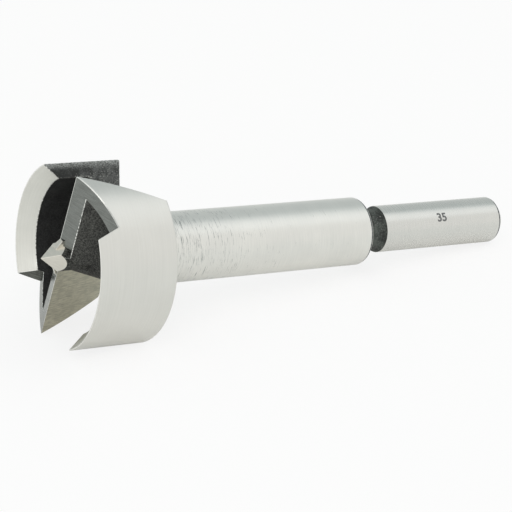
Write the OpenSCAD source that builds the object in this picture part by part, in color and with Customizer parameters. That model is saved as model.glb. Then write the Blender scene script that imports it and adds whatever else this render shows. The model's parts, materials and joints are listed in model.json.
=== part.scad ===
// Forstner bit with a plain round shank, forged, turned and ground from one bar of tool steel.
// It is drawn about its own axis, with the point towards +Z and the first cutting edge along +X,
// turning towards +Y as it cuts, and is then laid down the way it comes to rest on a table.

/* [Cutting head] */
// Diameter of the hole that the head cuts
head_d = 35; // [32:0.5:45]
// Length of the head, from the rim's edge to its back face
head_len = 15.9; // [14.5:0.1:22]
// Thickness of the rim's wall
rim_wall = 2.8; // [2.2:0.1:3.6]
// Width of the narrow land left along the rim's edge
rim_land = 0.2; // [0.1:0.05:0.5]
// Height of the ground bevel inside the rim's edge
bevel_h = 3; // [2:0.1:4]
// Depth of the forged pockets, from the rim's edge to their floor
pocket_depth = 10.4; // [8:0.1:11]
// Fillet between the pockets' floor and the rim
pocket_fillet = 2; // [1:0.1:3]
// Rounding of the head's back edge
back_round = 0.4; // [0.3:0.1:1.5]
// Fillet between the head's back face and the body
back_fillet = 1.5; // [0.5:0.1:3]

/* [Cutting edges] */
// How far each cutting edge leads the radius that it runs along
edge_lead = 1; // [0.4:0.1:1.6]
// How far the cutting edges lie behind the rim's edge
edge_drop = 0.35; // [0.1:0.05:1]
// Lean of the rake face away from the axis, in degrees
rake_angle = 26; // [15:1:32]
// Slope of the clearance ground behind the cutting edge, in degrees
relief_angle = 19.5; // [10:0.5:24]
// Width of the ground land behind the cutting edge
edge_land_w = 3.3; // [2.4:0.1:4.5]
// Lean of the lifter's forged back away from the axis, in degrees
lifter_back_angle = 36; // [30:1:42]
// Angle round the rim from the cutting edge back to the shoulder of the clearance, in degrees
shoulder_angle = 36.7; // [25:0.1:45]
// Lean of that shoulder away from the axis, in degrees
shoulder_lean = 22.5; // [10:0.5:35]
// Turn of that shoulder, which carries the clearance further back on the inside of the rim, in degrees
shoulder_turn = 18; // [0:1:20]

/* [Gullets] */
// Angle round the rim from the cutting edge's radius ahead to the end of the next rim, in degrees
gullet_angle = 44.5; // [35:0.5:55]
// Slant of the rim's end face away from the radius, in degrees
rim_end_slant = 15; // [5:1:20]

/* [Centre point] */
// Diameter of the post that carries the point
post_d = 5.3; // [4:0.1:6]
// How far the point stands out in front of the rim's edge
point_reach = 3.3; // [2.5:0.1:5]
// Angle between two opposite faces of the point, in degrees
point_angle = 64; // [50:1:80]
// Depth behind the rim's edge at which the post starts to widen into the core
post_depth = 2.9; // [2:0.1:4]
// Half angle of the core's cone, in degrees
core_angle = 20; // [16:1:28]
// Thickness of the root that carries each cutting edge up to the point
edge_root_w = 1.1; // [0.5:0.1:1.5]
// How far that root stands out in front of the rim's edge, beside the point
edge_root_reach = 0.6; // [0.3:0.1:1]
// How far that root stands back from the rake face
edge_root_inset = 0.15; // [0.1:0.05:0.3]

/* [Body and shank] */
// Diameter of the body behind the head
body_d = 13.7; // [11.5:0.1:16]
// Length from the rim's edge to the end of the body
body_end = 67.6; // [50:0.5:90]
// Chamfer at the end of the body
body_chamfer = 0.6; // [0.3:0.1:1.2]
// Diameter of the neck between the body and the shank
neck_d = 8.4; // [7:0.1:9]
// Length of the neck with its flare
neck_len = 4.7; // [3:0.1:8]
// Length of the flare from the neck up to the shank
neck_flare = 0.9; // [0.4:0.1:2]
// Diameter of the ground shank
shank_d = 9.5; // [9.5:0.1:10.5]
// Length of the ground shank with its end chamfer
shank_len = 30.2; // [25:0.1:45]
// Chamfer at the end of the shank
shank_chamfer = 1.1; // [0.4:0.1:1.5]

/* [Hidden] */
$fn = 128;
// Overshoot of a cut past the face it opens
over = 1;
// Stock left ahead of the rake faces, which the gullets trim
rake_stock = 0.25;
// Size of the blocks that stand for half of space
far = 3 * head_d;
head_r = head_d / 2;
rim_in_r = head_r - rim_wall;
body_r = body_d / 2;
neck_r = neck_d / 2;
shank_r = shank_d / 2;
post_r = post_d / 2;
// Depths along the axis, counted back from the rim's edge
core_depth = post_depth + (body_r - post_r) / tan(core_angle);
land_back_depth = edge_drop + edge_land_w * tan(relief_angle);
shoulder_depth = edge_drop + (edge_lead + head_r * sin(shoulder_angle)) * tan(relief_angle);
shank_start = body_end + neck_len;
shank_end = shank_start + shank_len;
// The rim's end face: the way it runs, and its distance from the axis
rim_end_dir = gullet_angle - rim_end_slant;
rim_end_offset = head_r * sin(rim_end_slant);

// Where the rake face and the lifter's back stand, across the edge, at a depth behind the rim's edge
function rake_y(depth) = edge_lead - (depth - edge_drop) * tan(rake_angle);
function lifter_back_y(depth) = edge_lead - edge_land_w - (depth - land_back_depth) * tan(lifter_back_angle);

// The resting pose: the second cutting edge's outer corner, the end of the first rim and the rear of the
// shank touch the table. Each contact is [x, y] about the axis and a depth behind the rim's edge.
tip_xy = -[sqrt(head_r * head_r - edge_lead * edge_lead), edge_lead];
tip_depth = edge_drop;
heel_xy = -head_r * [cos(gullet_angle), sin(gullet_angle)];
heel_depth = head_len - back_round;
rear_depth = shank_end - shank_chamfer;
// Down, seen along the axis, is the direction in which both corners and the shank lie on one plane
balance = tip_xy * (rear_depth - heel_depth) - heel_xy * (rear_depth - tip_depth);
down_angle = atan2(balance[1], balance[0]) + acos(shank_r * (tip_depth - heel_depth) / norm(balance));
down_xy = [cos(down_angle), sin(down_angle)];
rest_tilt = atan((down_xy * heel_xy - shank_r) / (rear_depth - heel_depth));
// Height of the axis above the table at the rim's edge, and how far back the middle of the length lies
rest_height = (down_xy * tip_xy) * cos(rest_tilt) + tip_depth * sin(rest_tilt);
rear_reach = shank_end * cos(rest_tilt) + (shank_r - shank_chamfer) * sin(rest_tilt);
rest_middle = (rear_reach - point_reach * cos(rest_tilt)) / 2;

// The half of space with y above 0
module half_space() {
    translate([-far, 0, -far])
        cube(2 * far);
}

// A profile drawn across the first cutting edge, carried out along the edge
module along_edge(length) {
    rotate([90, 0, 90])
        linear_extrude(length)
            children();
}

// The same feature for both cutting edges
module both_edges() {
    for (turn = [0, 180])
        rotate([0, 0, turn])
            children();
}

// The turned outside: head, body, neck and shank
module turned_blank() {
    rotate_extrude()
        difference() {
            polygon([
                [0, 0],
                [head_r, 0],
                [head_r, -head_len],
                [body_r + back_fillet, -head_len],
                [body_r, -head_len - back_fillet],
                [body_r, -body_end + body_chamfer],
                [body_r - body_chamfer, -body_end],
                [neck_r, -body_end],
                [neck_r, -shank_start + neck_flare],
                [shank_r, -shank_start],
                [shank_r, -shank_end + shank_chamfer],
                [shank_r - shank_chamfer, -shank_end],
                [0, -shank_end]
            ]);
            translate([body_r + back_fillet, -head_len - back_fillet])
                circle(back_fillet);
            translate([head_r, -head_len])
                difference() {
                    square(2 * back_round, center = true);
                    translate([-back_round, back_round])
                        circle(back_round);
                }
        }
}

// The core that widens from inside the post to the body, through the middle of the head
module core() {
    rotate_extrude()
        polygon([
            [0, over - post_depth],
            [post_r - over * tan(core_angle), over - post_depth],
            [body_r, -core_depth],
            [body_r, -body_end],
            [0, -body_end]
        ]);
}

// The hollow inside the rim, down to its filleted floor
module cup() {
    floor_r = rim_in_r - pocket_fillet;
    floor_fillet_y = pocket_fillet - pocket_depth;
    rotate_extrude() {
        translate([0, -pocket_depth])
            square([floor_r, pocket_depth + over]);
        translate([0, floor_fillet_y])
            square([rim_in_r, pocket_depth - pocket_fillet + over]);
        intersection() {
            translate([floor_r, floor_fillet_y])
                circle(pocket_fillet);
            translate([floor_r, -pocket_depth])
                square(pocket_fillet);
        }
    }
}

// The first lifter: the leaning bar from its forged back to just ahead of its rake face
module lifter() {
    along_edge(head_r)
        polygon([
            [rake_y(-over) + rake_stock, over],
            [rake_y(head_len) + rake_stock, -head_len],
            [lifter_back_y(head_len), -head_len],
            [lifter_back_y(-over), over]
        ]);
}

// The space ahead of the first rake face
module ahead_of_rake() {
    translate([0, edge_lead, -edge_drop])
        rotate([-rake_angle, 0, 0])
            half_space();
}

// The first gullet: the window from the rake face to the end of the next rim, round the core
module gullet() {
    depth = head_len + back_fillet + over;
    difference() {
        intersection() {
            ahead_of_rake();
            rotate([0, 0, rim_end_dir])
                translate([post_r / 2, rim_end_offset - far, -depth])
                    cube([far, far, depth + over]);
        }
        core();
    }
}

// The space ahead of the shoulder where the first edge's clearance ends
module ahead_of_shoulder() {
    rotate([0, 0, -shoulder_angle])
        translate([head_r, 0, -shoulder_depth])
            rotate([shoulder_lean, 0, shoulder_turn])
                half_space();
}

// The clearance ground behind the first cutting edge, across the lifter and the rim
module relief() {
    intersection() {
        translate([0, edge_lead, -edge_drop])
            rotate([90 + relief_angle, 0, 0])
                half_space();
        ahead_of_shoulder();
        rotate([0, 0, -90])
            half_space();
    }
}

// The bevel inside the first rim, from the shoulder to the rim's end
module rim_bevel() {
    slope = bevel_h / (rim_wall - rim_land);
    difference() {
        intersection() {
            rotate_extrude()
                polygon([
                    [rim_in_r - over, over * slope],
                    [rim_in_r - over, -bevel_h - over * slope],
                    [head_r - rim_land + over, over * slope]
                ]);
            rotate([0, 0, gullet_angle / 2 - 180])
                half_space();
        }
        ahead_of_shoulder();
    }
}

// The ridge between two opposite ground faces of the point, along X
module point_ridge() {
    half_w = (point_reach + post_depth + over) * tan(point_angle / 2);
    translate([-far / 2, 0, 0])
        along_edge(far)
            polygon([
                [0, point_reach],
                [-half_w, -post_depth - over],
                [half_w, -post_depth - over]
            ]);
}

// The post with the four ground faces of the point
module point() {
    intersection() {
        translate([0, 0, -post_depth - over])
            cylinder(r = post_r, h = point_reach + post_depth + over);
        point_ridge();
        rotate([0, 0, 90])
            point_ridge();
    }
}

// The root that carries the first cutting edge up to the point's foot
module edge_root() {
    difference() {
        translate([0, edge_lead - edge_root_w, 0])
            rotate([90, 0, 0])
                mirror([0, 0, 1])
                    linear_extrude(2 * edge_root_w)
                        polygon([
                            [0, edge_root_reach],
                            [post_r / sqrt(2), edge_root_reach],
                            [post_r + edge_lead, -edge_drop],
                            [post_r + edge_lead, -post_depth],
                            [0, -post_depth]
                        ]);
        translate([0, -edge_root_inset, 0])
            ahead_of_rake();
    }
}

// The bit about its own axis
module bit() {
    difference() {
        turned_blank();
        difference() {
            cup();
            core();
            both_edges()
                lifter();
        }
        both_edges()
            gullet();
        both_edges()
            relief();
        both_edges()
            rim_bevel();
    }
    point();
    both_edges()
        edge_root();
}

// The bit at rest on the table, with its length along X and the shank towards +X
module forstner_bit() {
    color([0.8, 0.8, 0.78])
        translate([-rest_middle, 0, rest_height])
            rotate([0, rest_tilt, 0])
                rotate([0, -90, 0])
                    rotate([0, 0, 180 - down_angle])
                        bit();
}

forstner_bit();
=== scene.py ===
"""A forstner bit of ground tool steel, lying on a pale table in soft studio light."""

import json
import math
from types import SimpleNamespace

import bmesh
import bpy
from mathutils import Matrix, Vector


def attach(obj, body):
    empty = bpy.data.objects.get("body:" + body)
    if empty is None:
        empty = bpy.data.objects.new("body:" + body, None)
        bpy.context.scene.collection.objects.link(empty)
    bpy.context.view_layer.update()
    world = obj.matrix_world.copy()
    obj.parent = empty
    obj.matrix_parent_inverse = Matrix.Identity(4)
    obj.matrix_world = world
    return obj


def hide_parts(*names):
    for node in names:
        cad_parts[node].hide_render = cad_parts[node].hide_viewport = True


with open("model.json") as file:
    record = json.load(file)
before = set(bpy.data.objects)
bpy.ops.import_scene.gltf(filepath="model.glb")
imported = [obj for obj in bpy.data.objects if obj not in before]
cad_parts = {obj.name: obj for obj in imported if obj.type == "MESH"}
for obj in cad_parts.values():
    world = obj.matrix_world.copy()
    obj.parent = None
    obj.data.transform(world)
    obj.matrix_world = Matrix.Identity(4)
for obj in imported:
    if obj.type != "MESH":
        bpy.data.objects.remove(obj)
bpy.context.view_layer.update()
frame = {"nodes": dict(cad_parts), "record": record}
BODY = "root"
NODE = "forstner_bit"
MM = 0.001

# The bit's own sizes, in millimetres. Depths count back from the rim's edge along the axis.
HEAD_R = 17.5
HEAD_LEN = 15.9
RIM_IN_R = 14.7
BODY_R = 6.85
BODY_END = 67.6
BODY_CHAMFER = 0.6
POST_R = 2.65
SHANK_R = 4.75
SHANK_START = 72.3
SHANK_END = 102.5
SHANK_CHAMFER = 1.1
SHANK_MIDDLE = 86.85
EDGE_LEAD = 1.0
POCKET_DEPTH = 10.4
# How deep the point's ground faces reach, and how far before the head's end its turned back counts
POINT_DEPTH = 1.2
BACK_REACH = 0.9

# Angles of the ground faces and of the bit as it lies, in degrees
RELIEF_ANGLE = 19.5
RAKE_ANGLE = 26
SHOULDER_LEAN = 22.5
RIM_END_DIR = 29.5
DOWN_ANGLE = 195.2307

# Edges sharper than this, in degrees, are broken by strips of these widths
SHARP = 24
EDGE_WIDTH = 0.08
SPUR_WIDTH = 0.16
SEAM_WIDTH = 0.22
# How wide the painted highlight along a cutting edge is
KEEN_WIDTH = 0.2
# Points closer than this are welded, and faces that differ by less than this angle are joined
WELD = 0.002
SAME_PLANE = 0.2
# A slanting direction, along which the points and faces are put in a fixed order
SWEEP = Vector((1.0, 0.377, 0.1931))

# The size number on the shank: its height, its place along the bit and round it, how much its strokes
# are widened, how far it stands in and out, and the strips that bend it round the shank
MARK_HEIGHT = 1.75
MARK_DEPTH = 86.3
MARK_ANGLE = -37
MARK_BOLD = 0.07
MARK_SINK = 0.015
MARK_STRIPS = 12
# The share of its nominal size that the height of a figure takes in the plain built-in font
FIGURE_SHARE = 0.7

# Lathe rings: cells per radian round the axis and per millimetre along it, and their height
RING_TURN = 1.4
RING_PITCH = 5.5
RING_HEIGHT = 0.004
# Grinding lines: cells per millimetre across and along them, their slant and their height
LINE_PITCH = 8.0
LINE_RUN = 0.4
LINE_SLANT = 0.32
LINE_HEIGHT = 0.004
BEVEL_PITCH = 4.0
# Pits left from the bar: cells per millimetre round the body and along it, how far they reach behind
# the head, and their colour
PIT_ROUND = 0.29
PIT_ALONG = 8.0
PIT_REACH = 42
PIT_COLOR = (0.13, 0.155, 0.165, 1)
# The scale in the throat between head and body, and the painted reflection, speckled by the grain, along the
# outside of a rim's end
THROAT_COLOR = (0.03, 0.031, 0.029, 1)
OUTER_SHEEN_COLOR = (0.34, 0.36, 0.355, 1)
# Where the painted highlight along a spur starts to fade and where it has faded, in millimetres ahead of the
# axis
SPUR_BRIGHT = -4.5
SPUR_FADED = -8

# The camera, fitted to the photograph: place in metres, and its axes
CAMERA_AT = Vector((-0.19536, -0.30235, 0.16826))
CAMERA_RIGHT = Vector((0.85380, -0.51984, 0.02823))
CAMERA_UP = Vector((0.19101, 0.36324, 0.91190))
LENS = 139.4
SENSOR = 36
CLIP = (0.01, 20)

# The table: half its width in metres, its colour, and the share of its own light that the camera and
# the polished steel see
FLOOR_SIZE = 4.0
FLOOR_COLOR = (0.96, 0.96, 0.96, 1)
FLOOR_GLOW = 0.8
MIRRORED_GLOW = 0.25
WHITE = (1, 1, 1, 1)
WARM_WHITE = (1.0, 0.985, 0.93, 1)

# The room's light by direction, from the front at Y = -1 to the back at Y = 1. The first two are the
# ends of the ramp, the others lie between them.
ROOM = [
    (-0.15, (1.0, 0.995, 0.97, 1)),
    (0.98, (0.82, 0.85, 0.84, 1)),
    (0.28, (0.60, 0.65, 0.648, 1)),
    (0.65, (0.64, 0.68, 0.675, 1)),
]
ROOM_STRENGTH = 0.95
LAMP_TARGET = Vector((0, 0, 0.02))


def tool_frame():
    """The bit's own frame: Z along the axis to the point, X along the first cutting edge, and its origin."""
    mount = next(m for m in frame["record"]["mounts"] if m["name"] == "shank")
    back = Vector(mount["axis"]).normalized()
    origin = Vector(mount["pos_m"]) - back * SHANK_MIDDLE * MM
    z = -back
    down = Vector((0, 0, -1))
    down = (down - z * down.dot(z)).normalized()
    turn = Matrix.Rotation(math.radians(-DOWN_ANGLE), 3, z)
    x = turn @ down
    y = z.cross(x)
    return Matrix((x, y, z)).transposed().to_4x4(), origin


TURN, ORIGIN = tool_frame()
TO_TOOL = (Matrix.Translation(ORIGIN) @ TURN).inverted()


class Material:
    """A node material with short calls for its nodes."""

    def __init__(self, name):
        self.data = bpy.data.materials.new(name)
        self.data.use_nodes = True
        self.tree = self.data.node_tree
        self.tree.nodes.clear()
        self.out = self.add("ShaderNodeOutputMaterial")

    def add(self, kind, **settings):
        made = self.tree.nodes.new(kind)
        for key, value in settings.items():
            setattr(made, key, value)
        return made

    def put(self, socket, value):
        if isinstance(value, bpy.types.NodeSocket):
            self.tree.links.new(value, socket)
        else:
            socket.default_value = value

    def math(self, operation, a, b=0.0):
        made = self.add("ShaderNodeMath", operation=operation)
        self.put(made.inputs[0], a)
        self.put(made.inputs[1], b)
        return made.outputs[0]

    def times(self, a, b):
        return self.math("MULTIPLY", a, b)

    def plus(self, a, b):
        return self.math("ADD", a, b)

    def combine(self, x, y, z):
        made = self.add("ShaderNodeCombineXYZ")
        for socket, value in zip(made.inputs, (x, y, z)):
            self.put(socket, value)
        return made.outputs[0]

    def noise(self, vector, scale=1.0, detail=3.0, roughness=0.55, distortion=0.0):
        made = self.add("ShaderNodeTexNoise")
        self.put(made.inputs["Vector"], vector)
        made.inputs["Scale"].default_value = scale
        made.inputs["Detail"].default_value = detail
        made.inputs["Roughness"].default_value = roughness
        made.inputs["Distortion"].default_value = distortion
        return made.outputs["Fac"]

    def span(self, value, low, high, to_low=0.0, to_high=1.0):
        """The value's place between low and high, carried over to another span and held inside it."""
        made = self.add("ShaderNodeMapRange", interpolation_type="SMOOTHSTEP")
        self.put(made.inputs["Value"], value)
        limits = {"From Min": low, "From Max": high, "To Min": to_low, "To Max": to_high}
        for key, number in limits.items():
            made.inputs[key].default_value = number
        return made.outputs["Result"]

    def mix(self, factor, a, b):
        made = self.add("ShaderNodeMix", data_type="RGBA")
        self.put(made.inputs["Factor"], factor)
        self.put(made.inputs["A"], a)
        self.put(made.inputs["B"], b)
        return made.outputs["Result"]

    def tool_position(self):
        """The place in the bit's own frame, in millimetres, as a vector and as the parts that are needed."""
        place = self.add("ShaderNodeTexCoord")
        into = self.add("ShaderNodeMapping", vector_type="TEXTURE")
        self.put(into.inputs["Vector"], place.outputs["Object"])
        into.inputs["Location"].default_value = ORIGIN
        into.inputs["Rotation"].default_value = TURN.to_euler()
        into.inputs["Scale"].default_value = (MM, MM, MM)
        apart = self.add("ShaderNodeSeparateXYZ")
        self.put(apart.inputs[0], into.outputs[0])
        x, y, z = apart.outputs
        angle = self.math("ARCTAN2", y, x)
        radius = self.math("SQRT", self.plus(self.times(x, x), self.times(y, y)))
        depth = self.times(z, -1)
        return SimpleNamespace(place=into.outputs[0], x=x, y=y, angle=angle, radius=radius, depth=depth)

    def lead(self, at):
        """How far a place lies ahead of the axis, in the direction in which its own lifter cuts."""
        return self.times(at.y, self.math("SIGN", at.x))

    def bump(self, height, distance):
        made = self.add("ShaderNodeBump")
        made.inputs["Distance"].default_value = distance * MM
        self.put(made.inputs["Height"], height)
        return made.outputs[0]

    def surface(self, color, metallic, roughness, normal):
        shader = self.add("ShaderNodeBsdfPrincipled")
        self.put(shader.inputs["Base Color"], color)
        self.put(shader.inputs["Metallic"], metallic)
        self.put(shader.inputs["Roughness"], roughness)
        self.put(shader.inputs["Normal"], normal)
        self.put(self.out.inputs["Surface"], shader.outputs[0])
        return self.data


def turned_steel(name, color, dull, rough, ring_height=RING_HEIGHT, pits=False):
    """Steel ground on a lathe: rings round the axis, faint clouds, and pits from the bar near the head."""
    m = Material(name)
    at = m.tool_position()
    rings_at = m.combine(m.times(at.angle, RING_TURN), m.times(at.depth, RING_PITCH), at.radius)
    rings = m.noise(rings_at, detail=4)
    clouds = m.noise(at.place, scale=0.16)
    tone = m.plus(m.times(rings, 0.6), m.times(clouds, 0.4))
    shade = m.mix(m.span(tone, 0.35, 0.68), dull, color)
    roughness = m.span(rings, 0.3, 0.7, *rough)
    height = rings
    if pits:
        # Scale and pits keep off the fillet between body and head
        straight = m.span(at.radius, BODY_R + 0.05, BODY_R + 0.2, 1, 0)
        ragged_depth = m.plus(at.depth, m.noise(at.place, scale=0.9, detail=2))
        throat = m.times(m.span(ragged_depth, HEAD_LEN + 0.5, HEAD_LEN + 0.9, 1, 0), straight)
        shade = m.mix(throat, shade, THROAT_COLOR)
        roughness = m.plus(roughness, m.times(throat, 0.2))
        arc = m.times(at.angle, at.radius)
        dashes_at = m.combine(m.times(arc, PIT_ROUND), m.times(at.depth, PIT_ALONG), 3.0)
        dashes = m.noise(dashes_at, detail=4, roughness=0.66)
        clumps = m.noise(at.place, scale=0.32, detail=2)
        near = m.span(at.depth, HEAD_LEN, HEAD_LEN + PIT_REACH, 1, 0)
        more = m.plus(m.times(near, 0.12), m.times(clumps, 0.14))
        pit = m.times(m.span(m.plus(dashes, more), 0.74, 0.81), straight)
        shade = m.mix(m.times(pit, 0.85), shade, PIT_COLOR)
        roughness = m.plus(roughness, m.times(pit, 0.25))
        height = m.math("SUBTRACT", rings, m.times(pit, 2.0))
    return m.surface(shade, 1.0, roughness, m.bump(height, ring_height))


def flat_ground_steel(name, color, dull, rough, rings=False, keen_highlight=None):
    """Steel ground flat, its lines across the edge or round the axis, and a painted highlight along a keen
    edge.
    """
    m = Material(name)
    at = m.tool_position()
    if rings:
        lines_at = m.combine(m.times(at.radius, BEVEL_PITCH), m.times(at.depth, BEVEL_PITCH), at.angle)
    else:
        across = m.math("SUBTRACT", m.math("ABSOLUTE", at.x), m.times(at.depth, LINE_SLANT))
        lines_at = m.combine(
            m.times(across, LINE_PITCH), m.times(at.depth, LINE_RUN), m.times(at.y, LINE_RUN)
        )
    lines = m.noise(lines_at, roughness=0.6)
    clouds = m.noise(at.place, scale=0.5)
    tone = m.plus(m.times(lines, 0.75), m.times(clouds, 0.25))
    shade = m.mix(m.span(tone, 0.36, 0.64), dull, color)
    # Painted highlight: a bright band along the cutting edge, broken up by the grinding lines
    if keen_highlight is not None:
        highlight_band = m.span(m.lead(at), EDGE_LEAD - KEEN_WIDTH, EDGE_LEAD - KEEN_WIDTH / 2)
        shade = m.mix(m.times(highlight_band, m.span(lines, 0.3, 0.5, 0.6, 1)), shade, keen_highlight)
    return m.surface(shade, 1.0, m.span(lines, 0.3, 0.7, *rough), m.bump(lines, LINE_HEIGHT))


def forged_black(name, color, light, speck, speck_limit, grain_height, patchy=0.3):
    """The forging's black scale: a grainy skin with specks of bare steel."""
    m = Material(name)
    place = m.tool_position().place
    grain = m.noise(place, scale=3.6, roughness=0.7)
    patches = m.noise(place, scale=0.45)
    tone = m.plus(m.times(grain, 1 - patchy), m.times(patches, patchy))
    shade = m.mix(m.span(tone, 0.42, 0.60), color, light)
    specks = m.noise(place, scale=3.1, roughness=0.7, distortion=0.4)
    bare = m.span(specks, speck_limit, speck_limit + 0.07)
    shade = m.mix(m.times(bare, 0.8), shade, speck)
    roughness = m.span(bare, 0, 1, 0.62, 0.42)
    return m.surface(shade, m.times(bare, 0.6), roughness, m.bump(grain, grain_height))


def rim_end_scale(name, color, light, speck, grain_height):
    """The scale on a rim's end: dark inside by the cutting edge, lighter and specked outside and behind,
    with a painted reflection along its outer edge.
    """
    m = Material(name)
    at = m.tool_position()
    grain = m.noise(at.place, scale=4.5, roughness=0.7)
    patches = m.noise(at.place, scale=0.6)
    outside = m.span(at.radius, HEAD_R - 1.2, HEAD_R - 0.1, 0, 0.4)
    behind = m.span(at.depth, 3, 11, 0, 0.26)
    wear = m.math("MAXIMUM", outside, behind)
    tone = m.plus(m.plus(m.times(grain, 0.9), m.times(patches, 0.8)), wear)
    shade = m.mix(m.span(tone, 0.86, 1.32), color, light)
    # Painted reflection: a lighter band along the outer edge, speckled by the grain
    outer_sheen = m.times(m.span(at.radius, HEAD_R - 1.5, HEAD_R - 0.1), m.span(grain, 0.38, 0.6))
    shade = m.mix(outer_sheen, shade, OUTER_SHEEN_COLOR)
    inner_edge = m.span(at.radius, RIM_IN_R, RIM_IN_R + 0.4, 0.2, 0)
    inner_edge = m.times(inner_edge, m.span(at.depth, 9, POCKET_DEPTH, 1, 0))
    more = m.plus(m.times(wear, 0.3), inner_edge)
    specks = m.noise(at.place, scale=4.6, detail=2, roughness=0.6)
    bare = m.span(m.plus(specks, more), 0.66, 0.78)
    shade = m.mix(m.times(bare, 0.7), shade, speck)
    roughness = m.span(bare, 0, 1, 0.6, 0.42)
    return m.surface(shade, m.times(bare, 0.6), roughness, m.bump(grain, grain_height))


def worn_edge(name, color, dark, rear=None):
    """A ragged strip along a sharp edge, broken up where the skin still holds: bare steel painted brighter
    as a highlight, duller at a spur's rear where that highlight fades, and a dark painted shade line on the
    seam.
    """
    m = Material(name)
    at = m.tool_position()
    ragged = m.span(m.noise(at.place, scale=2.2, roughness=0.6), 0.40, 0.56)
    shade = m.mix(ragged, dark, color)
    if rear is not None:
        # Painted highlight: the spur's bright colour fades to a duller one towards its rear
        shade = m.mix(m.span(m.lead(at), SPUR_FADED, SPUR_BRIGHT, 0.8, 0), shade, rear)
    return m.surface(shade, 1.0, m.span(ragged, 0, 1, 0.45, 0.3), m.bump(ragged, 0.01))


def etched_mark(name, color, dull, rough):
    """Steel darkened by etching, a little uneven where the lathe rings run through it."""
    m = Material(name)
    at = m.tool_position()
    rings = m.noise(m.combine(at.angle, m.times(at.depth, RING_PITCH), at.radius))
    shade = m.mix(m.span(rings, 0.35, 0.65), dull, color)
    return m.surface(shade, 1.0, m.span(rings, 0.3, 0.7, *rough), m.bump(rings, RING_HEIGHT))


finishes = {
    "rim": turned_steel(
        "steel_rim", color=(0.73, 0.73, 0.70, 1), dull=(0.69, 0.69, 0.66, 1), rough=(0.31, 0.38)
    ),
    "body": turned_steel(
        "steel_body", color=(0.785, 0.785, 0.752, 1), dull=(0.72, 0.723, 0.695, 1), rough=(0.30, 0.40),
        pits=True,
    ),
    "shank": turned_steel(
        "steel_shank", color=(0.695, 0.695, 0.67, 1), dull=(0.655, 0.66, 0.638, 1), rough=(0.24, 0.32),
        ring_height=RING_HEIGHT / 2,
    ),
    "bevel": flat_ground_steel(
        "steel_bevel", color=(0.735, 0.735, 0.695, 1), dull=(0.69, 0.69, 0.652, 1), rough=(0.34, 0.44),
        rings=True,
    ),
    # Painted shade: the lands' ground steel has a dark colour, for the dark room that they mirror; the light
    # band by the cutting edge is a painted highlight
    "land": flat_ground_steel(
        "steel_land_painted_shade_and_highlight", color=(0.238, 0.250, 0.239, 1), dull=(0.172, 0.182, 0.172, 1), rough=(0.18, 0.28),
        keen_highlight=(0.85, 0.86, 0.83, 1),
    ),
    # Painted shade: the shoulders' ground steel has a very dark colour, for the shaded table below that they
    # mirror
    "shoulder": flat_ground_steel(
        "steel_shoulder_painted_shade", color=(0.20, 0.205, 0.19, 1), dull=(0.06, 0.062, 0.057, 1), rough=(0.35, 0.5)
    ),
    # Painted shade: the rakes' ground steel is darker and warm, for the shaded table under the body that
    # they mirror
    "rake": flat_ground_steel(
        "steel_rake_painted_shade", color=(0.62, 0.60, 0.485, 1), dull=(0.36, 0.348, 0.28, 1), rough=(0.36, 0.5)
    ),
    "point": flat_ground_steel(
        "steel_point", color=(0.715, 0.695, 0.635, 1), dull=(0.655, 0.635, 0.582, 1), rough=(0.3, 0.4)
    ),
    "forged": forged_black(
        "scale_pocket", color=(0.008, 0.008, 0.007, 1), light=(0.076, 0.078, 0.069, 1),
        speck=(0.20, 0.20, 0.185, 1), speck_limit=0.61, grain_height=0.12, patchy=0.2,
    ),
    # Painted shade: the inward walls inside the rims get a darker black than the pocket's scale, for the
    # shade in these deep hollows
    "wall": forged_black(
        "scale_wall_painted_shade", color=(0.012, 0.012, 0.0125, 1), light=(0.033, 0.034, 0.034, 1),
        speck=(0.09, 0.09, 0.09, 1), speck_limit=0.68, grain_height=0.05,
    ),
    "trailing": rim_end_scale(
        "scale_rim_end", color=(0.011, 0.013, 0.013, 1), light=(0.115, 0.122, 0.12, 1),
        speck=(0.45, 0.46, 0.44, 1), grain_height=0.04,
    ),
    # Bare steel where the scale is worn off, painted brighter than the ground faces as a highlight
    "edge": worn_edge("steel_edge", color=(0.86, 0.86, 0.83, 1), dark=(0.22, 0.23, 0.22, 1)),
    # Painted highlight: bright strips on the broken edges between ground faces
    "keen_highlight": worn_edge("steel_keen", color=(0.88, 0.88, 0.85, 1), dark=(0.80, 0.80, 0.78, 1)),
    # Painted highlight along the spur, fading towards its rear
    "spur": worn_edge(
        "steel_spur_painted_highlight", color=(0.88, 0.88, 0.85, 1), dark=(0.80, 0.80, 0.78, 1), rear=(0.30, 0.31, 0.30, 1)
    ),
    # Painted shade: a dark strip where each chamfer starts on the body and on the shank
    "seam": worn_edge("steel_seam_painted_shade", color=(0.03, 0.035, 0.045, 1), dark=(0.22, 0.23, 0.23, 1)),
    "neck": forged_black(
        "scale_neck", color=(0.007, 0.010, 0.008, 1), light=(0.071, 0.083, 0.073, 1),
        speck=(0.30, 0.31, 0.29, 1), speck_limit=0.61, grain_height=0.03, patchy=0.6,
    ),
}
number_of = {name: number for number, name in enumerate(finishes)}


def close(value, target, room=0.012):
    return abs(value - target) < room


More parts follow.
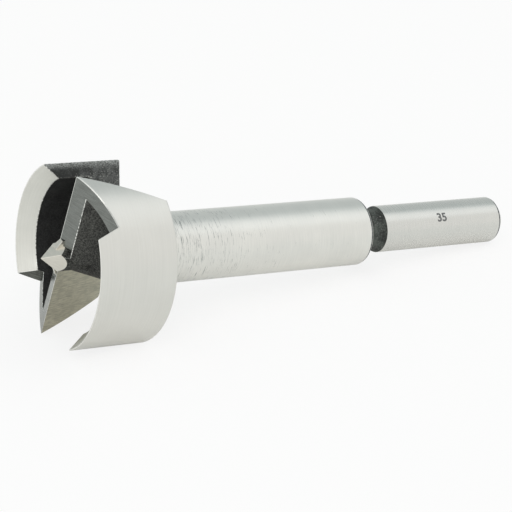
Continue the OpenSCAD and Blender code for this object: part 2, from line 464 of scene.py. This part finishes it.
def finish_of(centre, normal):
    """Which finish a face has, from its place on the bit and its direction, both in the bit's own frame."""
    x, y, depth = centre.x, centre.y, -centre.z
    radius = math.hypot(x, y)
    # Which way the face looks, from 1 straight away from the axis to -1 straight at it
    out = (x * normal.x + y * normal.y) / max(radius, 1e-6)
    if depth > SHANK_START:
        return "shank"
    if depth > BODY_END - 0.05:
        return "neck"
    if depth > HEAD_LEN + 0.02 or close(radius, BODY_R, 0.05) and out > 0.98:
        return "body"
    # Rake and clearance are ground parallel to the cutting edge, which runs along X
    along_edge = abs(normal.x) < 0.02
    cleared = close(normal.z, math.cos(math.radians(RELIEF_ANGLE)))
    if along_edge and close(normal.z, -math.sin(math.radians(RAKE_ANGLE))) and out < 0.85:
        return "rake"
    outside = radius > HEAD_R - 0.3 and out > 0.5
    behind = depth > HEAD_LEN - BACK_REACH and normal.z < -0.1 and radius > BODY_R + 0.2
    if outside or behind:
        return "rim"
    if radius < POST_R + 1.3 and depth < POINT_DEPTH and out < 0.95 and not cleared:
        return "point"
    if along_edge and cleared and out > -0.3:
        return "land"
    lean = math.sin(math.radians(SHOULDER_LEAN))
    if close(normal.z, lean, 0.02) and radius > RIM_IN_R - 1 and out > -0.6:
        return "shoulder"
    in_rim = radius > RIM_IN_R - 0.1
    if in_rim and normal.z > 0.5:
        return "bevel"
    end = math.radians(RIM_END_DIR)
    square_to_end = abs(normal.x * math.sin(end) - normal.y * math.cos(end)) > 0.998
    if abs(normal.z) < 0.02 and square_to_end and out > -0.6:
        return "trailing"
    # Painted shade: faces inside a rim that look towards the axis take the darker black
    if in_rim and out < -0.5:
        return "wall"
    return "forged"


def sharp_edges(bm):
    limit = math.radians(SHARP)
    return [e for e in bm.edges if e.is_manifold and e.is_convex and e.calc_face_angle() > limit]


def numbers(*names):
    """The numbers of the finishes with these names."""
    return {number_of[name] for name in names}


def sides(edge):
    """The numbers of the finishes on both sides of an edge."""
    return {face.material_index for face in edge.link_faces}


def at_seam(edge):
    """Whether an edge is where a chamfer starts, at the end of the body or of the shank."""
    depths = [-(TO_TOOL @ v.co).z / MM for v in edge.verts]
    starts = (BODY_END - BODY_CHAMFER, SHANK_END - SHANK_CHAMFER)
    return any(all(close(depth, start, 0.05) for depth in depths) for start in starts)


def break_edges(bm, picked, width, finish):
    """Breaks the sharp edges that are picked, by a flat strip with a finish of its own."""
    bmesh.ops.bevel(
        bm, geom=[e for e in sharp_edges(bm) if picked(e)], offset=width * MM, offset_type="OFFSET",
        segments=1, profile=0.5, affect="EDGES", clamp_overlap=False, material=number_of[finish],
    )


def break_all_edges(bm):
    """Breaks every sharp edge once: with a painted highlight on steel, ragged bare steel with a painted
    highlight beside the scale, black inside the pockets, and a dark painted shade line where a chamfer
    starts.
    """
    pocket = numbers("forged")
    black = numbers("forged", "wall", "trailing", "neck")
    done = numbers("spur", "seam", "shank", "point", "edge")
    break_edges(bm, lambda e: sides(e) == numbers("land", "rim"), SPUR_WIDTH, "spur")
    break_edges(bm, at_seam, SEAM_WIDTH, "seam")
    break_edges(bm, lambda e: sides(e) == numbers("shank", "neck"), EDGE_WIDTH, "shank")
    break_edges(bm, lambda e: sides(e) == numbers("point"), EDGE_WIDTH, "point")
    break_edges(bm, lambda e: sides(e) == pocket, EDGE_WIDTH, "forged")
    break_edges(
        bm, lambda e: sides(e) & black and sides(e) != pocket and not sides(e) & done, EDGE_WIDTH, "edge"
    )
    break_edges(bm, lambda e: not sides(e) & (done | black), EDGE_WIDTH, "keen_highlight")


def add_piece(name, mesh):
    """A visible piece of the bit, which rides on its only body."""
    piece = bpy.data.objects.new(name, mesh)
    bpy.context.scene.collection.objects.link(piece)
    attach(piece, BODY)
    return piece


def dressed_bit():
    """The bit's own form as one clean mesh, with a finish on each face."""
    mesh = frame["nodes"][NODE].data.copy()
    mesh.name = "bit"
    mesh.materials.clear()
    for material in finishes.values():
        mesh.materials.append(material)
    bm = bmesh.new()
    bm.from_mesh(mesh)
    bmesh.ops.remove_doubles(bm, verts=bm.verts, dist=WELD * MM)
    bm.normal_update()
    turn = TO_TOOL.to_3x3()
    for face in bm.faces:
        centre = (TO_TOOL @ face.calc_center_median()) / MM
        face.material_index = number_of[finish_of(centre, (turn @ face.normal).normalized())]
        face.smooth = True
    bmesh.ops.dissolve_limit(
        bm, angle_limit=math.radians(SAME_PLANE), verts=bm.verts, edges=bm.edges, delimit={"MATERIAL"}
    )
    break_all_edges(bm)
    bmesh.ops.remove_doubles(bm, verts=bm.verts, dist=WELD * MM)
    bmesh.ops.dissolve_degenerate(bm, dist=WELD * MM, edges=bm.edges)
    bm.verts.sort(key=lambda vert: vert.co.dot(SWEEP))
    bm.faces.sort(key=lambda face: face.calc_center_median().dot(SWEEP))
    bm.to_mesh(mesh)
    bm.free()
    mesh.set_sharp_from_angle(angle=math.radians(SHARP))
    piece = add_piece("bit", mesh)
    even = piece.modifiers.new("even_normals", "WEIGHTED_NORMAL")
    even.keep_sharp = True
    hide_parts(NODE)


def flat_number():
    """The head's size in millimetres as a flat mesh of plain figures, in millimetres."""
    text = bpy.data.curves.new("size_number", "FONT")
    text.body = str(round(2 * HEAD_R))
    text.size = MARK_HEIGHT / FIGURE_SHARE
    text.align_x = "CENTER"
    text.align_y = "CENTER"
    text.extrude = MARK_SINK
    text.offset = MARK_BOLD
    flat = bpy.data.objects.new("size_number_flat", text)
    mesh = bpy.data.meshes.new_from_object(flat)
    mesh.name = "size_number"
    bpy.data.objects.remove(flat)
    bpy.data.curves.remove(text)
    return mesh


def size_number():
    """The size etched on the shank: figures wrapped round it, barely proud of the steel."""
    mesh = flat_number()
    bm = bmesh.new()
    bm.from_mesh(mesh)
    bmesh.ops.remove_doubles(bm, verts=bm.verts, dist=0.1 * MARK_SINK)
    for strip in range(1, MARK_STRIPS):
        level = MARK_HEIGHT * (strip / MARK_STRIPS - 0.5)
        geom = bm.verts[:] + bm.edges[:] + bm.faces[:]
        bmesh.ops.bisect_plane(bm, geom=geom, plane_co=(0, level, 0), plane_no=(0, 1, 0))
    to_row = TO_TOOL.inverted()
    for vert in bm.verts:
        angle = math.radians(MARK_ANGLE) + vert.co.y / SHANK_R
        radius = SHANK_R + vert.co.z
        place = Vector((radius * math.cos(angle), radius * math.sin(angle), -MARK_DEPTH - vert.co.x))
        vert.co = to_row @ (place * MM)
    bmesh.ops.recalc_face_normals(bm, faces=bm.faces)
    bm.to_mesh(mesh)
    bm.free()
    mesh.materials.clear()
    mesh.materials.append(
        etched_mark(
            "steel_etched", color=(0.21, 0.213, 0.216, 1), dull=(0.15, 0.153, 0.156, 1), rough=(0.42, 0.55)
        )
    )
    add_piece("size_number", mesh)


def add_camera():
    data = bpy.data.cameras.new("camera")
    data.lens = LENS
    data.sensor_width = SENSOR
    data.clip_start, data.clip_end = CLIP
    camera = bpy.data.objects.new("camera", data)
    axes = Matrix((CAMERA_RIGHT, CAMERA_UP, CAMERA_RIGHT.cross(CAMERA_UP))).transposed()
    camera.matrix_world = Matrix.Translation(CAMERA_AT) @ axes.to_4x4()
    bpy.context.scene.collection.objects.link(camera)
    bpy.context.scene.camera = camera


def add_floor():
    """A wide white table that shows white to the camera and keeps a soft shadow."""
    corners = [(-1, -1), (1, -1), (1, 1), (-1, 1)]
    mesh = bpy.data.meshes.new("floor")
    mesh.from_pydata([(x * FLOOR_SIZE, y * FLOOR_SIZE, 0) for x, y in corners], [], [(0, 1, 2, 3)])
    m = Material("floor_white")
    white = m.add("ShaderNodeBsdfDiffuse")
    white.inputs["Color"].default_value = FLOOR_COLOR
    glow = m.add("ShaderNodeEmission")
    glow.inputs["Strength"].default_value = 1.0
    path = m.add("ShaderNodeLightPath")
    m.put(glow.inputs["Color"], m.mix(path.outputs["Is Camera Ray"], WARM_WHITE, WHITE))
    mirrored = m.math("MAXIMUM", path.outputs["Is Glossy Ray"], path.outputs["Is Transmission Ray"])
    seen = m.times(path.outputs["Is Camera Ray"], FLOOR_GLOW)
    both = m.add("ShaderNodeMixShader")
    m.put(both.inputs[0], m.math("MAXIMUM", seen, m.times(mirrored, MIRRORED_GLOW)))
    m.put(both.inputs[1], white.outputs[0])
    m.put(both.inputs[2], glow.outputs[0])
    m.put(m.out.inputs["Surface"], both.outputs[0])
    mesh.materials.append(m.data)
    floor = bpy.data.objects.new("floor", mesh)
    bpy.context.scene.collection.objects.link(floor)


def add_world():
    """A white room, a little cooler and darker at the back, for the steel to show."""
    world = bpy.data.worlds.new("studio")
    world.use_nodes = True
    tree = world.node_tree
    tree.nodes.clear()
    add = tree.nodes.new
    link = tree.links.new
    place = add("ShaderNodeTexCoord")
    apart = add("ShaderNodeSeparateXYZ")
    link(place.outputs["Generated"], apart.inputs[0])
    share = add("ShaderNodeMapRange")
    link(apart.outputs["Y"], share.inputs["Value"])
    share.inputs["From Min"].default_value = -1
    room = add("ShaderNodeValToRGB")
    link(share.outputs["Result"], room.inputs["Fac"])
    room.color_ramp.interpolation = "EASE"
    for stop, (y, color) in zip(room.color_ramp.elements, ROOM[:2]):
        stop.position = (y + 1) / 2
        stop.color = color
    for y, color in ROOM[2:]:
        room.color_ramp.elements.new((y + 1) / 2).color = color
    light = add("ShaderNodeBackground")
    link(room.outputs["Color"], light.inputs["Color"])
    light.inputs["Strength"].default_value = ROOM_STRENGTH
    white = add("ShaderNodeBackground")
    white.inputs["Color"].default_value = WHITE
    path = add("ShaderNodeLightPath")
    both = add("ShaderNodeMixShader")
    link(path.outputs["Is Camera Ray"], both.inputs[0])
    link(light.outputs[0], both.inputs[1])
    link(white.outputs[0], both.inputs[2])
    out = add("ShaderNodeOutputWorld")
    link(both.outputs[0], out.inputs["Surface"])
    bpy.context.scene.world = world


def add_lamp(name, place, size, power, color):
    """A soft round lamp that looks at the bit."""
    data = bpy.data.lights.new(name, "AREA")
    data.color = color
    data.shape = "DISK"
    data.size = size
    data.energy = power
    lamp = bpy.data.objects.new(name, data)
    lamp.location = place
    lamp.rotation_euler = (LAMP_TARGET - Vector(place)).to_track_quat("-Z", "Y").to_euler()
    bpy.context.scene.collection.objects.link(lamp)


bpy.context.scene.view_settings.view_transform = "Standard"
dressed_bit()
size_number()
add_camera()
add_floor()
add_world()
add_lamp("key_light", place=(-0.5, -0.6, 0.8), size=0.6, power=1.6, color=(1, 1, 1))
add_lamp("top_light", place=(0.62, -0.15, 0.75), size=0.7, power=0.25, color=(0.86, 0.94, 1))
